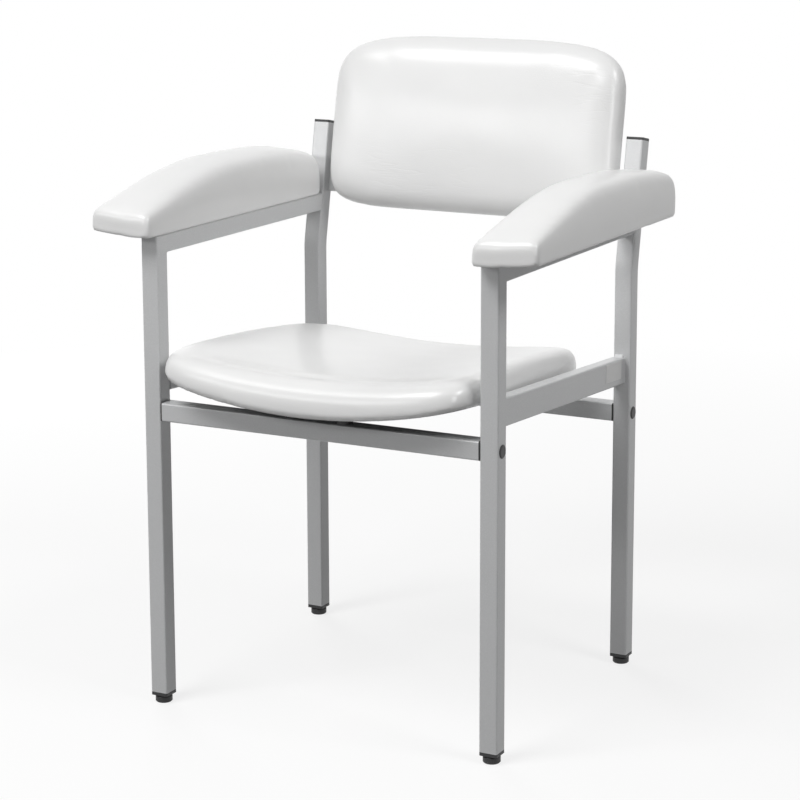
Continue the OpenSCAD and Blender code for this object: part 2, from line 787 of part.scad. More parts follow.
// Frames of the screws: x = 0 and z = 0 lie on the backrest's rear face, z points into it
module at_back_screws() {
    for (s = [0, 1], y = [low_screw_s, high_screw_s]) mirror([s, 0, 0]) back_frame()
        translate([0, y, back_dish_r]) rotate([0, -tab_angle, 0])
            translate([0, 0, -back_dish_r]) children();
}

module back_bores(d) {
    at_back_screws() translate([0, 0, -back_t]) cylinder(d = d, h = 2 * back_t);
}

module back_board() {
    color(wood) difference() {
        back_frame() back_slab(board_inset, board_lift, board_lift + back_board_t);
        back_bores(insert_d + 2 * slip);
    }
}

module back_foam() {
    insets = concat(back_floor_shares * back_half_w, [board_inset]);
    color(foam) back_frame() solid_form(concat(
        floor_rings(back_outline, back_centre, back_half, insets, back_foam_floor),
        form_rings(back_outline, back_centre, back_half, back_profile, back_t, 4,
            foam_depth, back_low_face, back_high_face, smooth)), back_count / 4);
}

module back_cover() {
    color(white) back_frame() shell_form(
        form_rings(back_outline, back_centre, back_half, back_profile, back_t, 0,
            0, back_low_face, back_high_face, smooth),
        form_rings(back_outline, back_centre, back_half, back_profile, back_t, 0,
            cover_t, back_low_face, back_high_face, smooth), back_count / 4);
}

// Panel over the turned-in cover, as wide as the boards leave it
module back_panel() {
    color(white) difference() {
        back_frame() back_slab(2 * board_inset, -panel_t - face_gap / 2, -face_gap / 2);
        back_bores(screw_d + 2 * hole_gap);
    }
}

module back_tabs() {
    far = tab_depth + tab_t;
    color(silver) difference() {
        for (s = [0, 1]) mirror([s, 0, 0]) back_frame()
            translate([0, high_screw_s + tab_margin, 0]) rotate([90, 0, 0])
                linear_extrude(high_screw_s - low_screw_s + 2 * tab_margin) polygon([
                    [tab_end, tab_z(tab_end, tab_depth)], [tab_end, tab_z(tab_end, far)],
                    [inner_x, tab_z(inner_x, far)], [inner_x, tab_z(inner_x, tab_depth)]]);
        back_bores(screw_d + 2 * hole_gap);
    }
}

module back_screws() {
    color(steel) at_back_screws() translate([0, 0, -tab_depth - tab_t])
        screw(tab_depth + tab_t + board_lift + insert_len - tip);
}

module back_inserts() {
    color(steel) at_back_screws() translate([0, 0, board_lift]) insert();
}

// Arm pads

// The posts have leaned back at the height of the rails, and the pads follow them
pad_rear = (arm_rail_top - lean_z) * tan(lean) - pad_gap;
pad_len = pad_front + leg_pitch + pad_rear;
pad_half = [pad_w / 2, pad_len / 2];
pad_centre = [0, pad_len / 2 - pad_front];
pad_x = inner_x - pad_inset + pad_w / 2;
pad_rail_x = frame_half - pad_x;
pad_hem = pad_inset + (tube - screw_head_d) / 2;
pad_side_shares = [0.86, 0.7, 0.56, 0.43, 0.3, 0.17];
pad_corner = [pad_half[0] - pad_r, pad_half[1] - pad_r - pad_bow];
// Points of the side nearer the middle of the chair, from the rear to the front
pad_side = concat(
    [for (a = [90:30:180])
        [pad_r * cos(a) - pad_corner[0], pad_centre[1] + pad_corner[1] + pad_r * sin(a)]],
    [for (share = pad_side_shares) [-pad_half[0], share * pad_len - pad_front]],
    [for (a = [180:30:270])
        [pad_r * cos(a) - pad_corner[0], pad_centre[1] - pad_corner[1] + pad_r * sin(a)]]);
pad_outline = concat([[0, pad_centre[1] + pad_half[1]]], pad_side, [[0, -pad_front]],
    [for (i = [len(pad_side) - 1:-1:0]) [-pad_side[i][0], pad_side[i][1]]]);
pad_edge_shares = [[0.22, 0, 0], [0.05, 0.05, 0], [0, 0.25, 0], [0.02, 0.55, 0],
    [0.17, 0.79, 0], [0.5, 0.92, 0], [1, 0.98, 0], [1.7, 1, 0]];
pad_profile = edge_profile(pad_hem, pad_edge, pad_edge_shares);
pad_floor_share = 0.6;
pad_foam_lift = board_lift + pad_board_t + cover_gap;

function pad_out(x) = max(0, (x - pad_rail_x) / (pad_half[0] - pad_rail_x));

pad_low_face = function(p) pad_lift * pad_out(p[0]);
pad_foam_floor = function(p) pad_low_face(p) + pad_foam_lift;
pad_high_face = function(p)
    let (t = (p[1] + pad_front) / pad_ramp, run = (pad_len - pad_ramp) / pad_ramp,
        rise = t < 1 ? sin(90 * max(t, 0)) : 1,
        fall = t > 1 ? (t - 1) / run : 0)
    mix(pad_low, pad_high, rise) - pad_fall * pow(fall, 3) + pad_tilt * (p[0] / pad_w + 0.5);

// The left pad's own frame: x from its middle, y from the leg's front face, z from the rail
module pad_frame() {
    translate([pad_x, front_y, arm_rail_top]) children();
}

module at_pad_screws() {
    for (y = [pad_screw_a, leg_pitch - pad_screw_b])
        translate([tube_x, front_y + y, arm_rail_top]) children();
}

// Slab that follows the pad's underside between two heights, inside an inset outline
module pad_slab(inset, z_low, z_high) {
    x = pad_half[0];
    intersection() {
        translate([0, 0, -over]) linear_extrude(pad_high)
            polygon(ring(pad_outline, pad_centre, pad_half, inset));
        translate([0, pad_len, 0]) rotate([90, 0, 0]) linear_extrude(2 * pad_len) polygon([
            [-x, z_low], [pad_rail_x, z_low], [x, pad_lift + z_low],
            [x, z_high + pad_lift], [pad_rail_x, z_high], [-x, z_high]]);
    }
}

module arm_board() {
    color(wood) difference() {
        pad_frame() pad_slab(board_inset, board_lift, board_lift + pad_board_t);
        at_pad_screws() translate([0, 0, -over])
            cylinder(d = insert_d + 2 * slip, h = 2 * pad_board_t);
    }
}

module arm_foam() {
    insets = [pad_floor_share * pad_half[0], board_inset];
    color(foam) pad_frame() solid_form(concat(
        floor_rings(pad_outline, pad_centre, pad_half, insets, pad_foam_floor),
        form_rings(pad_outline, pad_centre, pad_half, pad_profile, pad_high, 5,
            foam_depth + 2 * cover_gap, pad_low_face, pad_high_face, smooth)), 0);
}

module arm_cover() {
    color(white) pad_frame() shell_form(
        form_rings(pad_outline, pad_centre, pad_half, pad_profile, pad_high, 0,
            0, pad_low_face, pad_high_face, smooth),
        form_rings(pad_outline, pad_centre, pad_half, pad_profile, pad_high, 0,
            cover_t, pad_low_face, pad_high_face, smooth), 0);
}

module arm_lining() {
    color(black) difference() {
        pad_frame() pad_slab(pad_hem + face_gap, 0, lining_t);
        at_pad_screws() translate([0, 0, -over])
            cylinder(d = screw_d + 2 * hole_gap, h = lining_t + 2 * over);
    }
}

module arm_screws() {
    color(steel) for (s = [0, 1]) mirror([s, 0, 0]) at_pad_screws() translate([0, 0, -wall])
        screw(wall + board_lift + insert_len - tip);
}

module arm_inserts() {
    color(steel) for (s = [0, 1]) mirror([s, 0, 0]) at_pad_screws()
        translate([0, 0, board_lift]) insert();
}

front_leg();  // left_front_leg
right_side() front_leg();  // right_front_leg
back_post();  // left_back_post
right_side() back_post();  // right_back_post
arm_rail();  // left_arm_rail
right_side() arm_rail();  // right_arm_rail
seat_rail();  // left_seat_rail
right_side() seat_rail();  // right_seat_rail
front_crossbar();
rear_crossbar();
crossbar_end_plugs();
crossbar_bolts();
bolt_hole_plugs();
post_cap();  // left_post_cap
right_side() post_cap();  // right_post_cap
leg_plug(front_bar_y);  // left_front_leg_plug
right_side() leg_plug(front_bar_y);  // right_front_leg_plug
leg_plug(rear_bar_y);  // left_rear_leg_plug
right_side() leg_plug(rear_bar_y);  // right_rear_leg_plug
foot(front_bar_y);  // left_front_foot
right_side() foot(front_bar_y);  // right_front_foot
foot(rear_bar_y);  // left_rear_foot
right_side() foot(rear_bar_y);  // right_rear_foot
stud(front_bar_y);  // left_front_stud
right_side() stud(front_bar_y);  // right_front_stud
stud(rear_bar_y);  // left_rear_stud
right_side() stud(rear_bar_y);  // right_rear_stud
seat_board();
seat_foam();
seat_cover();
seat_lining();
seat_spacers();
seat_brackets();
seat_screws();
seat_inserts();
back_board();
back_foam();
back_cover();
back_panel();
back_tabs();
back_screws();
back_inserts();
arm_board();  // left_arm_board
right_side() arm_board();  // right_arm_board
arm_foam();  // left_arm_foam
right_side() arm_foam();  // right_arm_foam
arm_cover();  // left_arm_cover
right_side() arm_cover();  // right_arm_cover
arm_lining();  // left_arm_lining
right_side() arm_lining();  // right_arm_lining
arm_screws();
arm_inserts();
side_label();
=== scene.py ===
"""Phlebotomy chair: vinyl cushions, painted frame, studio and camera, in metres."""
import json
import logging
import math
from abc import ABC, abstractmethod
from contextlib import contextmanager
from dataclasses import dataclass, field
from enum import Enum
from typing import Iterator

import bpy
from mathutils import Matrix, Vector


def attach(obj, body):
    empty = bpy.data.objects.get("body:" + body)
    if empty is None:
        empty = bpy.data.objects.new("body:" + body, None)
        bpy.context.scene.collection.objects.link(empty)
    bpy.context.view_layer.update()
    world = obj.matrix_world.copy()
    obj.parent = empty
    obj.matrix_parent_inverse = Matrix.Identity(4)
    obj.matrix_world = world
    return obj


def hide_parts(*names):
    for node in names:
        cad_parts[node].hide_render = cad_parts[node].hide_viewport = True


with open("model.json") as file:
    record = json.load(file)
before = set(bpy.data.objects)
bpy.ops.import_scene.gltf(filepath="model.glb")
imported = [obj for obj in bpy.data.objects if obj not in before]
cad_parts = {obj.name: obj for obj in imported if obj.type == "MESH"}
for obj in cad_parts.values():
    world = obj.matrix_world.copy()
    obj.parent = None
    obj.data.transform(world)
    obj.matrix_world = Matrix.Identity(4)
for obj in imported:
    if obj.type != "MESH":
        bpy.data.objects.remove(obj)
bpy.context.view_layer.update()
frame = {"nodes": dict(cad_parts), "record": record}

LOG = logging.getLogger("phlebotomy_chair")
Socket = bpy.types.NodeSocket
Colour = tuple[float, float, float]
Place = tuple[float, float, float]
Pair = tuple[float, float]
WHITE = (1.0, 1.0, 1.0, 1.0)
TINY = 1e-6
ALMOST_ONE = 0.9999
LEG_FRONT_Y = -0.253315


# Working by hand: selection, edit mode and modifiers

def deselect_all() -> None:
    """Leaves nothing selected and nothing active."""
    if bpy.context.object and bpy.context.object.mode != "OBJECT":
        bpy.ops.object.mode_set(mode="OBJECT")
    bpy.ops.object.select_all(action="DESELECT")


def take(piece: bpy.types.Object) -> None:
    """Selects one piece alone and makes it active."""
    deselect_all()
    piece.select_set(True)
    bpy.context.view_layer.objects.active = piece


@contextmanager
def editing(piece: bpy.types.Object) -> Iterator[None]:
    """Holds a piece in edit mode with all of it selected."""
    take(piece)
    bpy.ops.object.mode_set(mode="EDIT")
    bpy.ops.mesh.select_mode(type="VERT")
    bpy.ops.mesh.select_all(action="SELECT")
    try:
        yield
    finally:
        bpy.ops.object.mode_set(mode="OBJECT")


def name_piece(name: str) -> bpy.types.Object:
    """Names the primitive that was just added, and its mesh.

    Args:
        name: A plain name for the piece.

    Returns:
        The new object.
    """
    piece = bpy.context.object
    piece.name = name
    piece.data.name = name
    return piece


def apply_all(piece: bpy.types.Object) -> None:
    """Applies every modifier of a piece, in order."""
    take(piece)
    for modifier in list(piece.modifiers):
        bpy.ops.object.modifier_apply(modifier=modifier.name)


def read_surface(mesh: bpy.types.Mesh) -> tuple[list[Vector], list[Vector]]:
    """Returns copies of a mesh's points and of their normals."""
    return [v.co.copy() for v in mesh.vertices], [v.normal.copy() for v in mesh.vertices]


def write_places(mesh: bpy.types.Mesh, places: list[Vector]) -> None:
    """Moves every point of a mesh to its new place."""
    mesh.vertices.foreach_set("co", [value for place in places for value in place])
    mesh.update()


def mix(a: float, b: float, t: float) -> float:
    """Returns the value a share t of the way from a to b."""
    return a + (b - a) * t


def smooth_step(t: float) -> float:
    """Returns a smooth rise from 0 to 1 while t goes from 0 to 1."""
    t = min(max(t, 0.0), 1.0)
    return t * t * (3.0 - 2.0 * t)


def curve_between(a: float, b: float, c: float, d: float, f: float) -> float:
    """Returns the value of a smooth curve through four stops, between the middle two.

    Args:
        a: The stop before.
        b: The stop at f = 0.
        c: The stop at f = 1.
        d: The stop after.
        f: Share of the way from b to c.
    """
    return 0.5 * (2 * b + (c - a) * f + (2 * a - 5 * b + 4 * c - d) * f * f
                  + (3 * b - a - 3 * c + d) * f ** 3)


# Finishes

class Graph:
    """The node tree of one material or of the world, built node by node."""

    def __init__(self, owner: bpy.types.ID, output: str = "ShaderNodeOutputMaterial") -> None:
        """Starts an empty tree.

        Args:
            owner: The material or world that holds the tree.
            output: Blender's name of its output node.
        """
        owner.use_nodes = True
        self.owner = owner
        self.tree = owner.node_tree
        self.tree.nodes.clear()
        self.output = self.add(output)
        self.place = self.add("ShaderNodeTexCoord").outputs["Object"]

    def add(self, kind: str, options: dict | None = None, **sockets: object) -> bpy.types.Node:
        """Adds a node.

        Args:
            kind: Blender's name of the node type.
            options: Settings of the node itself.
            **sockets: Input values or output sockets to link, with _ for a space.

        Returns:
            The new node.
        """
        node = self.tree.nodes.new(kind)
        for key, value in (options or {}).items():
            setattr(node, key, value)
        for key, value in sockets.items():
            self.feed(node.inputs[key.replace("_", " ")], value)
        return node

    def feed(self, socket: Socket, value: object) -> None:
        """Links an output to a socket, or sets the socket's own value."""
        if isinstance(value, Socket):
            self.tree.links.new(value, socket)
        else:
            socket.default_value = value

    def stretched(self, scale: Place) -> Socket:
        """Returns object coordinates scaled along each axis."""
        return self.add("ShaderNodeMapping", Vector=self.place, Scale=scale).outputs["Vector"]

    def noise(self, scale: float, detail: float = 2.0, place: object = None) -> Socket:
        """Returns a cloudy value between 0 and 1.

        Args:
            scale: Clouds per metre.
            detail: How many finer layers are added.
            place: Coordinates, the object's own by default.
        """
        return self.add("ShaderNodeTexNoise", Vector=place or self.place, Scale=scale,
                        Detail=detail).outputs["Fac"]

    def cells(self, scale: float, output: str = "Distance") -> Socket:
        """Returns a pattern of small cells, so many per metre, by one of its outputs."""
        return self.add("ShaderNodeTexVoronoi", Vector=self.place, Scale=scale).outputs[output]

    def span(self, value: Socket, low: float, high: float, start: float = 0.0,
             end: float = 1.0) -> Socket:
        """Returns a value spread from start..end onto low..high, and held there."""
        return self.add("ShaderNodeMapRange", Value=value, From_Min=start, From_Max=end,
                        To_Min=low, To_Max=high).outputs["Result"]

    def math(self, operation: str, *values: object) -> Socket:
        """Returns the result of a Math node."""
        node = self.add("ShaderNodeMath", {"operation": operation})
        for socket, value in zip(node.inputs, values):
            self.feed(socket, value)
        return node.outputs["Value"]

    def blend(self, factor: object, a: Colour | Socket, b: Colour) -> Socket:
        """Returns a colour between a and b."""
        node = self.add("ShaderNodeMix", {"data_type": "RGBA"})
        self.feed(node.inputs[0], factor)
        self.feed(node.inputs[6], a if isinstance(a, Socket) else (*a, 1.0))
        self.feed(node.inputs[7], (*b, 1.0))
        return node.outputs[2]

    def bump(self, height: Socket, depth: float, strength: float = 1.0,
             under: Socket | None = None) -> Socket:
        """Returns a normal that follows a height.

        Args:
            height: Height between 0 and 1.
            depth: Depth of the full height in metres.
            strength: Share of the effect.
            under: A normal that this one is laid over.
        """
        node = self.add("ShaderNodeBump", Strength=strength, Distance=depth, Height=height)
        if under is not None:
            self.feed(node.inputs["Normal"], under)
        return node.outputs["Normal"]

    def edges(self, radius: float) -> Socket:
        """Returns a value that rises along outer edges of about a radius."""
        rounded = self.add("ShaderNodeBevel", {"samples": 4}, Radius=radius).outputs["Normal"]
        flat = self.add("ShaderNodeNewGeometry").outputs["Normal"]
        dot = self.add("ShaderNodeVectorMath", {"operation": "DOT_PRODUCT"})
        self.feed(dot.inputs[0], rounded)
        self.feed(dot.inputs[1], flat)
        return self.math("SUBTRACT", 1.0, dot.outputs["Value"])

    def rough(self, scale: float, low: float, high: float) -> Socket:
        """Returns a roughness that drifts in clouds between low and high."""
        return self.span(self.noise(scale, 4.0), low, high, 0.3, 0.7)

    def seen(self) -> Socket:
        """Returns 1 for what the camera, gloss or a clear piece looks at, and 0 for its light."""
        path = self.add("ShaderNodeLightPath").outputs
        through = self.math("MAXIMUM", path["Is Glossy Ray"], path["Is Transmission Ray"])
        return self.math("MAXIMUM", path["Is Camera Ray"], through)

    def finish(self, **sockets: object) -> bpy.types.Material:
        """Adds the surface shader and returns the material."""
        shader = self.add("ShaderNodeBsdfPrincipled", **sockets)
        self.feed(self.output.inputs["Surface"], shader.outputs["BSDF"])
        return self.owner


@dataclass(frozen=True)
class Finish(ABC):
    """A surface finish, which knows the record's slot that it stands for."""

    name: str
    slot: str

    def graph(self) -> Graph:
        """Returns an empty tree in a new material of this name."""
        return Graph(bpy.data.materials.new(self.name))

    @abstractmethod
    def material(self) -> bpy.types.Material:
        """Builds the material."""


@dataclass(frozen=True)
class Vinyl(Finish):
    """Upholstery vinyl with a fine grain, a soft gloss and slightly uneven tension."""

    colour: Colour = (0.86, 0.86, 0.855)
    shaded: Colour = (0.83, 0.83, 0.828)
    roughness: Pair = (0.29, 0.38)
    cloud_scale: float = 5.0
    pull_scale: float = 11.0
    pull_depth: float = 0.0035
    grain_scale: float = 620.0
    pore_scale: float = 1500.0
    grain_depth: float = 0.00012
    crease: float = 0.0
    crease_stretch: Place = (9.0, 60.0, 60.0)
    crease_width: float = 0.035

    def creased(self, g: Graph, under: Socket) -> Socket:
        """Returns a normal with faint creases across the pad, here and there.

        Args:
            g: The tree to build in.
            under: The normal that they are laid over.
        """
        ridge = g.math("SUBTRACT", g.noise(1.0, 2.0, g.stretched(self.crease_stretch)), 0.5)
        fold = g.span(g.math("ABSOLUTE", ridge), 0.0, 1.0, 0.0, self.crease_width)
        near = g.span(g.noise(7.0, 1.0), 0.0, 1.0, 0.56, 0.68)
        depth = g.math("MULTIPLY", near, g.math("SUBTRACT", 1.0, fold))
        return g.bump(g.math("SUBTRACT", 1.0, depth), self.crease, 0.5, under)

    def material(self) -> bpy.types.Material:
        """Builds the material."""
        g = self.graph()
        clouds = g.noise(self.cloud_scale, 3.0)
        base = g.blend(g.span(clouds, 0.0, 1.0, 0.35, 0.7), self.colour, self.shaded)
        pull = g.bump(g.noise(self.pull_scale, 1.0), self.pull_depth, 0.35)
        if self.crease:
            pull = self.creased(g, pull)
        pores = g.math("MULTIPLY", g.noise(self.pore_scale, 2.0), 0.5)
        grain = g.math("ADD", g.cells(self.grain_scale), pores)
        return g.finish(Base_Color=base, Roughness=g.rough(14.0, *self.roughness),
                        Coat_Weight=0.3, Coat_Roughness=0.18, Specular_IOR_Level=0.5,
                        Normal=g.bump(grain, self.grain_depth, 0.55, pull))


@dataclass(frozen=True)
class FramePaint(Finish):
    """Silver grey powder coat with metal flakes, a slight orange peel and rubbed edges."""

    colour: Colour = (0.61, 0.615, 0.62)
    flake: Colour = (0.74, 0.745, 0.75)
    worn: Colour = (0.72, 0.72, 0.71)
    metal: float = 0.12
    roughness: Pair = (0.28, 0.32)
    flake_scale: float = 2600.0
    flake_depth: float = 0.00001
    peel_scale: float = 420.0
    peel_depth: float = 0.00006
    edge_radius: float = 0.0012
    scuff_stretch: Place = (700.0, 700.0, 14.0)

    def material(self) -> bpy.types.Material:
        """Builds the material."""
        g = self.graph()
        flakes = g.span(g.cells(self.flake_scale, "Color"), 0.0, 1.0, 0.55, 0.95)
        base = g.blend(flakes, self.colour, self.flake)
        edge = g.span(g.edges(self.edge_radius), 0.0, 1.0, 0.02, 0.16)
        rubbed = g.math("MULTIPLY", edge, g.span(g.noise(45.0, 4.0), 0.0, 0.6, 0.46, 0.66))
        streaks = g.noise(1.0, 3.0, g.stretched(self.scuff_stretch))
        scuffs = g.span(streaks, 0.0, 0.2, 0.68, 0.76)
        base = g.blend(g.math("MAXIMUM", rubbed, scuffs), base, self.worn)
        peel = g.bump(g.noise(self.peel_scale, 1.0), self.peel_depth, 0.5)
        return g.finish(Base_Color=base, Metallic=self.metal,
                        Roughness=g.rough(160.0, *self.roughness), Specular_IOR_Level=0.2,
                        Normal=g.bump(flakes, self.flake_depth, 0.4, peel))


@dataclass(frozen=True)
class MouldedPlastic(Finish):
    """Moulded plastic with a fine spark-eroded grain and lighter rubbed edges."""

    colour: Colour = (0.025, 0.025, 0.026)
    rubbed: Colour = (0.07, 0.07, 0.07)
    rough: float = 0.5
    rough_spread: float = 0.07
    edge_radius: float = 0.0008
    grain_scale: float = 1300.0
    grain_depth: float = 0.00008

    def material(self) -> bpy.types.Material:
        """Builds the material."""
        g = self.graph()
        wear = g.math("MULTIPLY", g.span(g.edges(self.edge_radius), 0.0, 1.0, 0.02, 0.2),
                      g.span(g.noise(60.0, 3.0), 0.1, 0.9, 0.35, 0.65))
        base = g.blend(wear, self.colour, self.rubbed)
        rough = g.rough(80.0, self.rough - self.rough_spread, self.rough + self.rough_spread)
        return g.finish(Base_Color=base, Roughness=rough,
                        Normal=g.bump(g.noise(self.grain_scale, 2.0), self.grain_depth, 0.5))


@dataclass(frozen=True)
class ZincSteel(Finish):
    """Zinc-plated steel with a mottled bluish film."""

    colour: Colour = (0.58, 0.6, 0.63)
    film: Colour = (0.5, 0.54, 0.62)
    roughness: Pair = (0.24, 0.42)
    mottle_scale: float = 90.0
    grain_scale: float = 600.0
    grain_depth: float = 0.00004

    def material(self) -> bpy.types.Material:
        """Builds the material."""
        g = self.graph()
        mottle = g.span(g.noise(self.mottle_scale, 4.0), 0.0, 1.0, 0.4, 0.65)
        return g.finish(Base_Color=g.blend(mottle, self.colour, self.film), Metallic=1.0,
                        Roughness=g.rough(240.0, *self.roughness),
                        Normal=g.bump(g.noise(self.grain_scale, 3.0), self.grain_depth, 0.5))


@dataclass(frozen=True)
class Plywood(Finish):
    """Moulded beech plywood with its grain along the chair."""

    light: Colour = (0.66, 0.49, 0.31)
    dark: Colour = (0.5, 0.35, 0.2)
    grain_stretch: Place = (260.0, 9.0, 260.0)
    grain_depth: float = 0.0001

    def material(self) -> bpy.types.Material:
        """Builds the material."""
        g = self.graph()
        fibre = g.noise(1.0, 5.0, g.stretched(self.grain_stretch))
        base = g.blend(g.span(fibre, 0.0, 1.0, 0.35, 0.65), self.light, self.dark)
        return g.finish(Base_Color=base, Roughness=g.span(fibre, 0.55, 0.7),
                        Normal=g.bump(fibre, self.grain_depth, 0.6))


@dataclass(frozen=True)
class CutFoam(Finish):
    """Cut polyurethane foam with open cells, and painted shade darkening the pits of the cells.
    """

    colour: Colour = (0.86, 0.78, 0.5)
    # Painted shade: the darker colour laid into the pits of the cells.
    painted_pore_shade: Colour = (0.62, 0.54, 0.32)
    pore_scale: float = 900.0
    pore_depth: float = 0.0004

    def material(self) -> bpy.types.Material:
        """Builds the material."""
        g = self.graph()
        pores = g.cells(self.pore_scale)
        # Painted shade: the pits that the bump sinks are darkened towards the pit colour.
        base = g.blend(g.span(pores, 1.0, 0.0, 0.1, 0.5), self.colour, self.painted_pore_shade)
        return g.finish(Base_Color=base, Roughness=0.95,
                        Normal=g.bump(pores, self.pore_depth, 0.8))


@dataclass(frozen=True)
class Lining(Finish):
    """Black non-woven lining with loose fibres and a pattern of bonding points."""

    colour: Colour = (0.022, 0.022, 0.024)
    fibre: Colour = (0.06, 0.06, 0.065)
    fibre_stretch: Place = (900.0, 300.0, 900.0)
    fibre_depth: float = 0.0001
    bond_scale: float = 450.0
    bond_depth: float = 0.0002

    def material(self) -> bpy.types.Material:
        """Builds the material."""
        g = self.graph()
        fibres = g.noise(1.0, 4.0, g.stretched(self.fibre_stretch))
        base = g.blend(g.span(fibres, 0.0, 1.0, 0.45, 0.7), self.colour, self.fibre)
        points = g.span(g.cells(self.bond_scale), 0.0, 1.0, 0.1, 0.3)
        woolly = g.bump(fibres, self.fibre_depth, 0.6)
        return g.finish(Base_Color=base, Roughness=0.92, Sheen_Weight=0.15,
                        Normal=g.bump(points, self.bond_depth, 0.6, woolly))


@dataclass(frozen=True)
class LabelFilm(Finish):
    """Blank polyester label film with a faint brushed sheen and handling marks."""

    colour: Colour = (0.78, 0.78, 0.775)
    soiled: Colour = (0.68, 0.675, 0.66)
    brush_stretch: Place = (60.0, 40.0, 1600.0)
    brush_depth: float = 0.00003
    edge_radius: float = 0.003

    def material(self) -> bpy.types.Material:
        """Builds the material."""
        g = self.graph()
        brushed = g.noise(1.0, 3.0, g.stretched(self.brush_stretch))
        soil = g.math("MULTIPLY", g.span(g.noise(70.0, 4.0), 0.0, 0.8, 0.5, 0.75),
                      g.span(g.edges(self.edge_radius), 0.3, 1.0, 0.0, 0.1))
        base = g.blend(soil, self.colour, self.soiled)
        return g.finish(Base_Color=base, Roughness=g.span(brushed, 0.28, 0.4),
                        Normal=g.bump(brushed, self.brush_depth, 0.4))


class Look(Enum):
    """The finishes of this chair."""

    VINYL = Vinyl("white vinyl", "white_vinyl")
    BACK_VINYL = Vinyl("white vinyl of the backrest", "white_vinyl", crease=0.0002)
    FRAME = FramePaint("silver powder coat", "frame_paint")
    BLACK = MouldedPlastic("black plastic", "black_plastic")
    PANEL = MouldedPlastic("white plastic", "white_plastic", (0.76, 0.76, 0.75),
                           (0.8, 0.8, 0.79), 0.48)
    ZINC = ZincSteel("zinc plated steel", "zinc_steel")
    PLYWOOD = Plywood("plywood", "plywood")
    FOAM = CutFoam("cut foam", "foam")
    LINING = Lining("black lining", "black_lining")
    LABEL = LabelFilm("blank label film", "label_film")


class Wardrobe:
    """Makes each finish once and hands it to pieces and CAD nodes."""

    def __init__(self) -> None:
        """Starts with no material made."""
        self.made: dict[Look, bpy.types.Material] = {}

    def dress(self, piece: bpy.types.Object, look: Look) -> None:
        """Gives a piece one finish all over.

        Args:
            piece: The object to dress.
            look: The finish it gets.
        """
        if look not in self.made:
            self.made[look] = look.value.material()
        if not piece.data.materials:
            piece.data.materials.append(self.made[look])
        for index in range(len(piece.data.materials)):
            piece.data.materials[index] = self.made[look]

    def dress_nodes(self, slots: dict[str, str]) -> None:
        """Dresses every CAD node by its material slot in the record.

        Args:
            slots: The slot of each node.
        """
        looks = {look.value.slot: look for look in Look if look is not Look.BACK_VINYL}
        for node, slot in slots.items():
            self.dress(frame["nodes"][node], looks[slot])
            LOG.info("dressed %s as %s", node, slot)


# Cushions

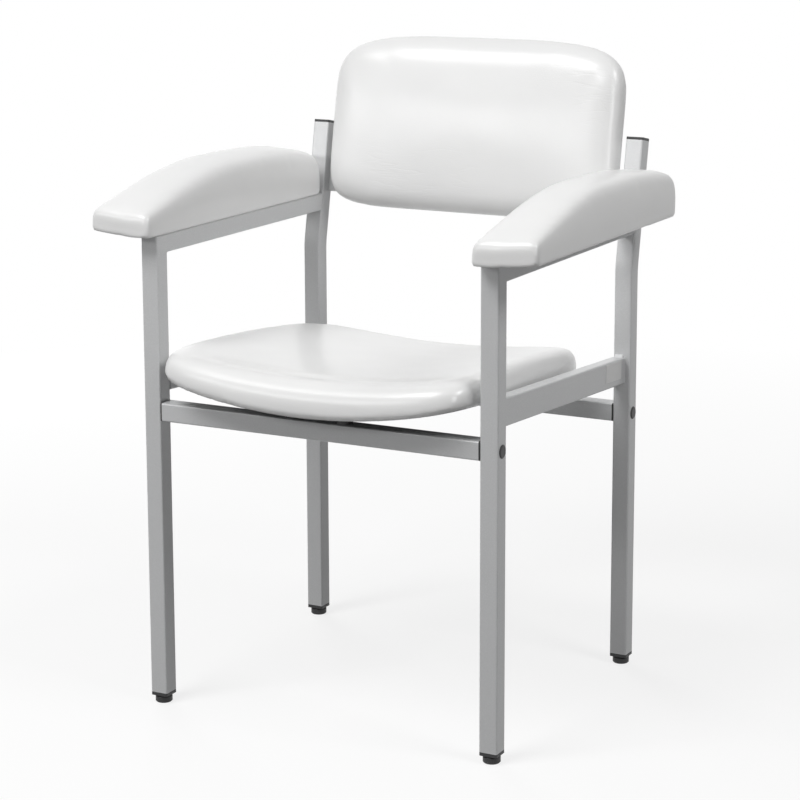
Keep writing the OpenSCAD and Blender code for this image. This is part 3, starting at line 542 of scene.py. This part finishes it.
@dataclass
class Cushion(ABC):
    """A vinyl-covered pad whose form is a rim profile carried round an outline.

    A point of the pad is told by its place on the outline and on the profile. The
    profile gives pairs of inset, in edge widths, and height share, from the
    underside over the rim to the top. The underside lies at z = 0 in the pad's own
    frame, apart from its dish or bow.
    """

    name: str
    stands_for: tuple[str, ...]
    half: Pair
    centre_y: float
    edge: float
    profile: tuple[Pair, ...]
    hem: float
    look: Look = Look.VINYL
    cuts: int = 44
    ease: float = 0.35
    voxel: float = 0.005
    shrink: float = 0.0012
    swell: float = 0.0028
    pressure: float = 4.0
    cloth_quality: int = 4
    cloth_frames: int = 20
    board_edge: float = 0.012
    held_share: float = 0.3
    relax_share: float = 0.5
    relax_rounds: int = 6
    flat_normal: float = -0.75
    flat_reach: float = 0.006
    hem_gap: float = 0.0002
    lining_lift: float = 0.0014
    lining_blend: float = 0.003

    @abstractmethod
    def rim_point(self, u: float, v: float) -> Pair:
        """Returns the outline point in a direction, in the pad's own frame."""

    @abstractmethod
    def rim_radius(self, x: float, y: float, inset: float) -> float:
        """Returns how far out a point lies, where 1 is the outline inset by some width."""

    @abstractmethod
    def low(self, x: float, y: float) -> float:
        """Returns the height of the underside."""

    @abstractmethod
    def high(self, x: float, y: float) -> float:
        """Returns the height of the top."""

    @abstractmethod
    def place(self) -> Matrix:
        """Returns the matrix from the pad's own frame to the chair's."""

    def scaled(self, point: Pair, share: float, inset: float) -> Pair:
        """Returns an outline point moved towards the centre.

        Args:
            point: A point of the outline.
            share: Share of the way out from the centre.
            inset: Width by which the outline is inset.
        """
        x = point[0] * (1.0 - inset / self.half[0]) * share
        y = (point[1] - self.centre_y) * (1.0 - inset / self.half[1]) * share
        return x, y + self.centre_y

    def rim(self, t: float) -> Pair:
        """Returns inset and height share of the profile at t, from the top to the underside."""
        stops = self.profile[::-1]
        at = min(t * (len(stops) - 1), len(stops) - 1.0001)
        i, f = int(at), at - int(at)
        a, b = stops[max(i - 1, 0)], stops[i]
        c, d = stops[i + 1], stops[min(i + 2, len(stops) - 1)]
        return tuple(curve_between(a[k], b[k], c[k], d[k], f) for k in (0, 1))

    def shaped(self, u: float, v: float, w: float) -> Vector:
        """Returns where a point of the starting cube goes.

        Args:
            u: Place across the pad, from -1 to 1.
            v: Place along the pad, from -1 to 1.
            w: Height, from -1 to 1.
        """
        far = max(abs(u), abs(v))
        if far < TINY:
            edge_point = self.rim_point(1.0, 0.0)
        else:
            edge_point = self.rim_point(u / far, v / far)
        if w > ALMOST_ONE:
            inset, share = self.profile[-1]
        elif w < -ALMOST_ONE:
            inset, share = self.profile[0]
        else:
            inset, share = self.rim((1.0 - w) / 2.0)
            far = 1.0
        x, y = self.scaled(edge_point, far, inset * self.edge)
        return Vector((x, y, mix(self.low(x, y), self.high(x, y), share)))

    def carve(self) -> bpy.types.Object:
        """Shapes a subdivided cube into the pad.

        Returns:
            The closed pad in its own frame.
        """
        deselect_all()
        bpy.ops.mesh.primitive_cube_add(size=2.0)
        piece = name_piece(self.name)
        with editing(piece):
            bpy.ops.mesh.subdivide(number_cuts=self.cuts)
        write_places(piece.data, [self.shaped(*self.crowded(v.co)) for v in piece.data.vertices])
        return piece

    def crowded(self, co: Vector) -> Place:
        """Returns a cube point with the top's rows crowded towards the rim."""
        u, v = (c * (1.0 + self.ease * (1.0 - c * c)) for c in (co.x, co.y))
        return u, v, co.z

    def tightened(self, piece: bpy.types.Object, held: bpy.types.VertexGroup) -> list[Vector]:
        """Returns all points drawn in a little, away from the board's edge.

        Args:
            piece: The remeshed pad.
            held: The group that takes the points at the board's edge.
        """
        tight = []
        for index, (spot, normal) in enumerate(zip(*read_surface(piece.data))):
            rise = (spot.z - self.low(spot.x, spot.y)) / self.board_edge
            if rise < 1.0:
                held.add([index], 1.0 - smooth_step(rise - self.held_share), "REPLACE")
            tight.append(spot - normal * self.shrink * smooth_step(rise))
        return tight

    def pressed(self, piece: bpy.types.Object, held: bpy.types.VertexGroup) -> list[Vector]:
        """Returns where the pad's points come to rest as cloth over pressing foam.

        Args:
            piece: The pad, drawn in.
            held: The group of points that stay.
        """
        cloth = piece.modifiers.new("Cloth", "CLOTH")
        cloth.settings.quality = self.cloth_quality
        cloth.settings.use_pressure = True
        cloth.settings.uniform_pressure_force = self.pressure
        cloth.settings.effector_weights.gravity = 0.0
        cloth.settings.vertex_group_mass = held.name
        for number in range(1, self.cloth_frames + 1):
            bpy.context.scene.frame_set(number)
        relaxed = piece.evaluated_get(bpy.context.evaluated_depsgraph_get()).data
        places = [vertex.co.copy() for vertex in relaxed.vertices]
        piece.modifiers.remove(cloth)
        bpy.context.scene.frame_set(1)
        return places

    def upholster(self, piece: bpy.types.Object) -> None:
        """Swells the pad like foam under a tight cover, held at the board's edge.

        Args:
            piece: The carved pad.
        """
        piece.data.remesh_voxel_size = self.voxel
        take(piece)
        bpy.ops.object.voxel_remesh()
        held = piece.vertex_groups.new(name="held")
        tight = self.tightened(piece, held)
        write_places(piece.data, tight)
        moves = [place - spot for place, spot in zip(self.pressed(piece, held), tight)]
        most = max(max(move.length for move in moves), self.shrink)
        share = min(1.0, self.swell / most)
        write_places(piece.data, [spot + move * share for spot, move in zip(tight, moves)])
        LOG.info("%s swelled by up to %.1f mm, kept to %.1f mm", self.name, most * 1000,
                 self.swell * 1000)

    def refine(self, piece: bpy.types.Object) -> None:
        """Smooths the remeshed steps and adds one subdivision."""
        relax = piece.modifiers.new("Relax", "CORRECTIVE_SMOOTH")
        relax.factor, relax.iterations = self.relax_share, self.relax_rounds
        relax.smooth_type = "LENGTH_WEIGHTED"
        relax.use_only_smooth = True
        finer = piece.modifiers.new("Finer", "SUBSURF")
        finer.levels = finer.render_levels = 1
        apply_all(piece)

    def settle(self, piece: bpy.types.Object) -> None:
        """Lays the underside on the board and lets the lining in inside the hem."""
        places, normals = read_surface(piece.data)
        for spot, normal in zip(places, normals):
            low = self.low(spot.x, spot.y)
            if normal.z > self.flat_normal or spot.z - low > self.flat_reach:
                continue
            gap = (1.0 - self.rim_radius(spot.x, spot.y, self.hem)) * min(self.half)
            inside = smooth_step(gap / self.lining_blend + 1.0)
            spot.z = low + mix(self.hem_gap, self.lining_lift, inside)
        write_places(piece.data, places)

    def crease(self, piece: bpy.types.Object) -> None:
        """Sews the seams that this pad has; most have none."""

    def build(self, wardrobe: Wardrobe) -> bpy.types.Object:
        """Makes the pad and dresses it.

        Args:
            wardrobe: Where the finish comes from.

        Returns:
            The finished cushion.
        """
        piece = self.carve()
        self.upholster(piece)
        self.refine(piece)
        self.settle(piece)
        self.crease(piece)
        place = self.place()
        piece.data.transform(place)
        if place.determinant() < 0.0:
            piece.data.flip_normals()
        take(piece)
        bpy.ops.object.shade_smooth()
        wardrobe.dress(piece, self.look)
        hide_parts(*self.stands_for)
        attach(piece, "chair")
        LOG.info("%s: %d faces", self.name, len(piece.data.polygons))
        return piece


def dish(x: float, radius: float) -> float:
    """Returns the rise of a dished face at a distance x from its middle."""
    return radius - math.sqrt(radius * radius - x * x)


@dataclass
class RoundedCushion(Cushion):
    """A pad whose outline is a superellipse, fuller at one end than at the other."""

    near_power: float = 4.0
    far_power: float = 4.0

    def spread(self, u: float, v: float) -> float:
        """Returns how far out a point lies, where 1 is the rounded outline.

        Args:
            u: Place across the pad, in half widths.
            v: Place along the pad, in half lengths.
        """
        if abs(u) + abs(v) < TINY:
            return 0.0
        along = (1.0 + v / math.hypot(u, v)) / 2.0
        power = mix(self.near_power, self.far_power, along)
        return (abs(u) ** power + abs(v) ** power) ** (1.0 / power)


@dataclass
class SeatCushion(RoundedCushion):
    """The dished seat with its rolled front edge and the seam behind the roll."""

    base_z: float = 0.467
    slope: float = 3.7
    thick: float = 0.050
    crown: float = 0.008
    top_dish: float = 0.022
    dish_radius: float = 0.900
    sweep: float = 0.006
    narrowing: float = 0.016
    front: float = 0.050
    seam_depth: float = 0.0045
    seam_inset: float = 0.051
    seam_width: float = 0.011
    seam_fade: float = 4.0
    top_normal: float = 0.3

    def rim_point(self, u: float, v: float) -> Pair:
        """Returns the outline point in a direction, in the pad's own frame."""
        far = self.spread(u, v)
        a, b = u / far, v / far
        back = (1.0 + b) / 2.0
        return (a * (self.half[0] - self.narrowing * back * back),
                self.centre_y + b * self.half[1] + self.sweep * a * a * (1.0 - back))

    def rim_radius(self, x: float, y: float, inset: float) -> float:
        """Returns how far out a point lies, where 1 is the outline inset by some width."""
        v = (y - self.centre_y) / (self.half[1] - inset)
        back = (1.0 + max(min(v, 1.0), -1.0)) / 2.0
        u = x / (self.half[0] - self.narrowing * back * back) / (1.0 - inset / self.half[0])
        return self.spread(u, v)

    def low(self, x: float, y: float) -> float:
        """Returns the height of the underside."""
        return dish(x, self.dish_radius)

    def high(self, x: float, y: float) -> float:
        """Returns the height of the top."""
        v = (y - self.centre_y) / self.half[1]
        across = x / self.half[0]
        return self.thick + self.crown * (1.0 - v * v) + self.top_dish * across * across

    def place(self) -> Matrix:
        """Returns the matrix from the pad's own frame to the chair's."""
        return (Matrix.Translation((0.0, LEG_FRONT_Y, self.base_z))
                @ Matrix.Rotation(math.radians(-self.slope), 4, "X"))

    def crease(self, piece: bpy.types.Object) -> None:
        """Sews the seam behind the front roll, which fades out towards the rear."""
        places, normals = read_surface(piece.data)
        for spot, normal in zip(places, normals):
            if normal.z > self.top_normal:
                inset = (1.0 - self.rim_radius(spot.x, spot.y, 0.0)) * self.half[1]
                groove = math.exp(-((inset - self.seam_inset) / self.seam_width) ** 2)
                fade = 1.0 + math.exp(self.seam_fade * spot.y / self.front)
                spot.z -= self.seam_depth * groove / fade
        write_places(piece.data, places)


@dataclass
class BackCushion(RoundedCushion):
    """The backrest, bowed about the sitter, on the leaning posts."""

    post_front_y: float = 0.212685
    lean_z: float = 0.618
    lean: float = 11.0
    thick: float = 0.038
    crown: float = 0.009
    rear: float = 0.014
    bow: float = 0.012

    def rim_point(self, u: float, v: float) -> Pair:
        """Returns the outline point in a direction, in the pad's own frame."""
        far = self.spread(u, v)
        return u / far * self.half[0], self.centre_y + v / far * self.half[1]

    def rim_radius(self, x: float, y: float, inset: float) -> float:
        """Returns how far out a point lies, where 1 is the outline inset by some width."""
        across, along = self.half[0] - inset, self.half[1] - inset
        return self.spread(x / across, (y - self.centre_y) / along)

    def low(self, x: float, y: float) -> float:
        """Returns the height of the underside."""
        return dish(x, (self.half[0] ** 2 + self.bow ** 2) / (2.0 * self.bow))

    def high(self, x: float, y: float) -> float:
        """Returns the height of the top."""
        u, v = x / self.half[0], (y - self.centre_y) / self.half[1]
        return self.low(x, y) + self.thick + self.crown * (1.0 - u * u) * (1.0 - v * v)

    def place(self) -> Matrix:
        """Returns the matrix from the pad's own frame to the chair's."""
        return (Matrix.Translation((0.0, self.post_front_y, self.lean_z))
                @ Matrix.Rotation(math.radians(-self.lean), 4, "X")
                @ Matrix.Translation((0.0, self.rear + self.bow, 0.0))
                @ Matrix.Rotation(math.radians(90.0), 4, "X"))


class Side(Enum):
    """The sitter's left and right."""

    LEFT = 1.0
    RIGHT = -1.0


@dataclass
class ArmCushion(Cushion):
    """A wedge-shaped arm pad that rises from its low front end to a crest."""

    side: Side = Side.LEFT
    middle_x: float = 0.300
    rail_top: float = 0.6975
    corner: float = 0.008
    bow: float = 0.001
    front: float = 0.028
    low_end: float = 0.034
    crest: float = 0.084
    ramp: float = 0.265
    fall: float = 0.019
    lift: float = 0.006
    tilt: float = 0.006
    rail_x: float = -0.019
    front_edge_share: float = 0.5
    side_ease: float = 0.2

    def scaled(self, point: Pair, share: float, inset: float) -> Pair:
        """Returns an outline point moved towards the centre, less at the crisp front end."""
        x, y = super().scaled(point, share, inset)
        if point[1] < self.centre_y:
            y = super().scaled(point, share, inset * self.front_edge_share)[1]
        return x, y

    def rim_point(self, u: float, v: float) -> Pair:
        """Returns the outline point in a direction, in the pad's own frame."""
        half_y = self.half[1] - self.bow * u * u
        x, y, r = abs(u) * self.half[0], abs(v) * half_y, self.corner
        over_x, over_y = max(x - self.half[0] + r, 0.0), max(y - half_y + r, 0.0)
        if over_x > 0.0 and over_y > 0.0:
            trim = r / math.hypot(over_x, over_y)
            x, y = self.half[0] - r + over_x * trim, half_y - r + over_y * trim
        return math.copysign(x, u), self.centre_y + math.copysign(y, v)

    def rim_radius(self, x: float, y: float, inset: float) -> float:
        """Returns how far out a point lies, where 1 is the outline inset by some width."""
        return max(1.0 - (self.half[0] - inset - abs(x)) / self.half[0],
                   1.0 - (self.half[1] - inset - abs(y - self.centre_y)) / self.half[0])

    def low(self, x: float, y: float) -> float:
        """Returns the height of the underside."""
        return self.lift * max(0.0, (x - self.rail_x) / (self.half[0] - self.rail_x))

    def high(self, x: float, y: float) -> float:
        """Returns the height of the top."""
        t = max((y + self.front) / self.ramp, 0.0)
        rise = math.sin(math.radians(90.0 * t)) if t < 1.0 else 1.0
        run = (2.0 * self.half[1] - self.ramp) / self.ramp
        drop = (t - 1.0) / run if t > 1.0 else 0.0
        return (mix(self.low_end, self.crest, rise) - self.fall * drop ** 3
                + self.tilt * (x / (2.0 * self.half[0]) + 0.5))

    def crowded(self, co: Vector) -> Place:
        """Returns a cube point with the rows along the pad crowded towards its ends."""
        u = co.x * (1.0 + self.side_ease * (1.0 - co.x * co.x))
        return u, math.sin(co.y * math.pi / 2.0), co.z

    def place(self) -> Matrix:
        """Returns the matrix from the pad's own frame to the chair's."""
        return (Matrix.Diagonal((self.side.value, 1.0, 1.0, 1.0))
                @ Matrix.Translation((self.middle_x, LEG_FRONT_Y, self.rail_top)))


def arm_cushion(side: Side) -> ArmCushion:
    """Returns the arm cushion of one side."""
    word = side.name.lower()
    return ArmCushion(
        name=f"{word}_arm_pad", stands_for=(f"{word}_arm_cover", f"{word}_arm_foam"),
        half=(0.050, 0.251227), centre_y=0.223227, edge=0.018, hem=0.012, voxel=0.004,
        profile=((0.22, 0.0), (0.05, 0.05), (0.0, 0.25), (0.02, 0.55), (0.17, 0.79),
                 (0.5, 0.92), (1.0, 0.98), (1.7, 1.0)),
        side=side, swell=0.0022)


@dataclass
class Upholstery:
    """All four cushions."""

    pads: list[Cushion] = field(default_factory=lambda: [
        SeatCushion(
            name="seat_cushion", stands_for=("seat_cover", "seat_foam"), half=(0.250, 0.245),
            centre_y=0.195, edge=0.027, hem=0.022, near_power=9.0, far_power=5.5,
            profile=((0.3, 0.0), (0.07, 0.07), (0.0, 0.22), (0.05, 0.52), (0.22, 0.76),
                     (0.52, 0.92), (1.0, 1.0))),
        BackCushion(
            name="backrest_cushion", stands_for=("back_cover", "back_foam"),
            half=(0.2465, 0.1375), centre_y=0.2025, edge=0.031, hem=0.022,
            look=Look.BACK_VINYL, near_power=8.0, far_power=4.0,
            profile=((0.26, 0.0), (0.06, 0.06), (0.0, 0.22), (0.05, 0.45), (0.19, 0.66),
                     (0.45, 0.84), (0.84, 0.96), (1.4, 1.0))),
        arm_cushion(Side.LEFT), arm_cushion(Side.RIGHT)])

    def build(self, wardrobe: Wardrobe) -> None:
        """Makes every cushion."""
        for pad in self.pads:
            pad.build(wardrobe)


# Studio

@dataclass(frozen=True)
class Lamp:
    """A soft rectangular lamp that the camera doesn't see.

    It may leave out the colour of what it falls on (lights) or its gloss (shines).
    """

    name: str
    place: Place
    target: Place
    size: Pair
    power: float
    lights: bool = True
    shines: bool = True

    def build(self) -> None:
        """Hangs the lamp and turns it to its target."""
        deselect_all()
        bpy.ops.object.light_add(type="AREA", location=self.place)
        lamp = bpy.context.object
        lamp.name = self.name
        lamp.data.shape = "RECTANGLE"
        lamp.data.size, lamp.data.size_y = self.size
        lamp.data.energy = self.power
        lamp.visible_camera = False
        lamp.visible_diffuse = self.lights
        lamp.visible_glossy = self.shines
        aim = Vector(self.target) - Vector(self.place)
        lamp.rotation_euler = aim.to_track_quat("-Z", "Y").to_euler()


@dataclass
class Studio:
    """Pale floor, soft lamps and the camera at the photograph's place."""

    camera_place: Place = (1.6098, -3.0891, 1.2403)
    turn: float = 27.49
    down: float = 10.76
    roll: float = -0.17
    lens: float = 108.57
    sensor: float = 36.0
    shift_down: float = 0.12
    floor_size: float = 30.0
    floor_pale: Colour = (0.96, 0.96, 0.96)
    floor_deep: Colour = (0.22, 0.22, 0.22)
    white_share: float = 0.78
    shadow_reach: Pair = (0.9, 2.6)
    ambient: float = 0.14
    lamps: tuple[Lamp, ...] = (
        Lamp("key_lamp", (-0.9, -2.1, 3.45), (0.0, 0.0, 0.6), (1.6, 1.6), 80.0),
        Lamp("right_lamp", (2.4, -0.4, 3.0), (0.0, 0.0, 0.7), (1.0, 1.0), 35.0),
        Lamp("front_card", (-1.38, -2.53, 1.62), (0.0, 0.24, 0.85), (1.5, 0.35), 12.5),
        Lamp("side_card", (2.4, -1.65, 1.5), (0.2, 0.1, 0.75), (0.5, 1.2), 15.0, lights=False),
        Lamp("rear_lamp", (-2.6, 2.4, 1.1), (0.0, 0.1, 0.6), (1.6, 1.0), 55.0, shines=False))

    def build_camera(self) -> None:
        """Adds the camera and makes it the scene's own."""
        data = bpy.data.cameras.new("photo_camera")
        data.lens, data.sensor_width, data.shift_y = self.lens, self.sensor, -self.shift_down
        camera = bpy.data.objects.new("photo_camera", data)
        bpy.context.scene.collection.objects.link(camera)
        camera.matrix_world = (Matrix.Translation(self.camera_place)
                               @ Matrix.Rotation(math.radians(self.turn), 4, "Z")
                               @ Matrix.Rotation(math.radians(90.0 - self.down), 4, "X")
                               @ Matrix.Rotation(math.radians(self.roll), 4, "Z"))
        bpy.context.scene.camera = camera

    def build_floor(self) -> None:
        """Adds the floor, white to the camera but for the chair's soft shadow."""
        deselect_all()
        bpy.ops.mesh.primitive_plane_add(size=self.floor_size)
        floor = name_piece("floor")
        g = Graph(bpy.data.materials.new("pale floor"))
        seen = g.seen()
        tone = g.blend(seen, self.floor_deep, self.floor_pale)
        lit = g.add("ShaderNodeBsdfDiffuse", Color=tone).outputs["BSDF"]
        plain = g.add("ShaderNodeEmission", Color=WHITE, Strength=1.0).outputs["Emission"]
        away = g.add("ShaderNodeVectorMath", {"operation": "LENGTH"})
        g.feed(away.inputs[0], g.place)
        white = g.span(away.outputs["Value"], self.white_share, 1.0, *self.shadow_reach)
        shader = g.add("ShaderNodeMixShader", Fac=g.math("MULTIPLY", seen, white))
        g.feed(shader.inputs[1], lit)
        g.feed(shader.inputs[2], plain)
        g.feed(g.output.inputs["Surface"], shader.outputs["Shader"])
        floor.data.materials.append(g.owner)

    def build_world(self) -> None:
        """Sets an even grey light that the camera and gloss see as white."""
        world = bpy.data.worlds.new("studio")
        bpy.context.scene.world = world
        g = Graph(world, "ShaderNodeOutputWorld")
        light = g.add("ShaderNodeBackground", Color=WHITE,
                      Strength=g.span(g.seen(), self.ambient, 1.0))
        g.feed(g.output.inputs["Surface"], light.outputs["Background"])

    def build(self) -> None:
        """Builds camera, floor, world and lamps."""
        self.build_camera()
        self.build_floor()
        self.build_world()
        for lamp in self.lamps:
            lamp.build()
        bpy.context.scene.view_settings.view_transform = "Standard"


def main() -> None:
    """Builds the studio, dresses the CAD nodes and makes the cushions."""
    logging.basicConfig(level=logging.INFO, format="%(message)s")
    Studio().build()
    wardrobe = Wardrobe()
    slots = {part["node"]: part["material_slot"] for part in frame["record"]["subparts"]}
    wardrobe.dress_nodes(slots)
    Upholstery().build(wardrobe)


if __name__ == "__main__":
    main()
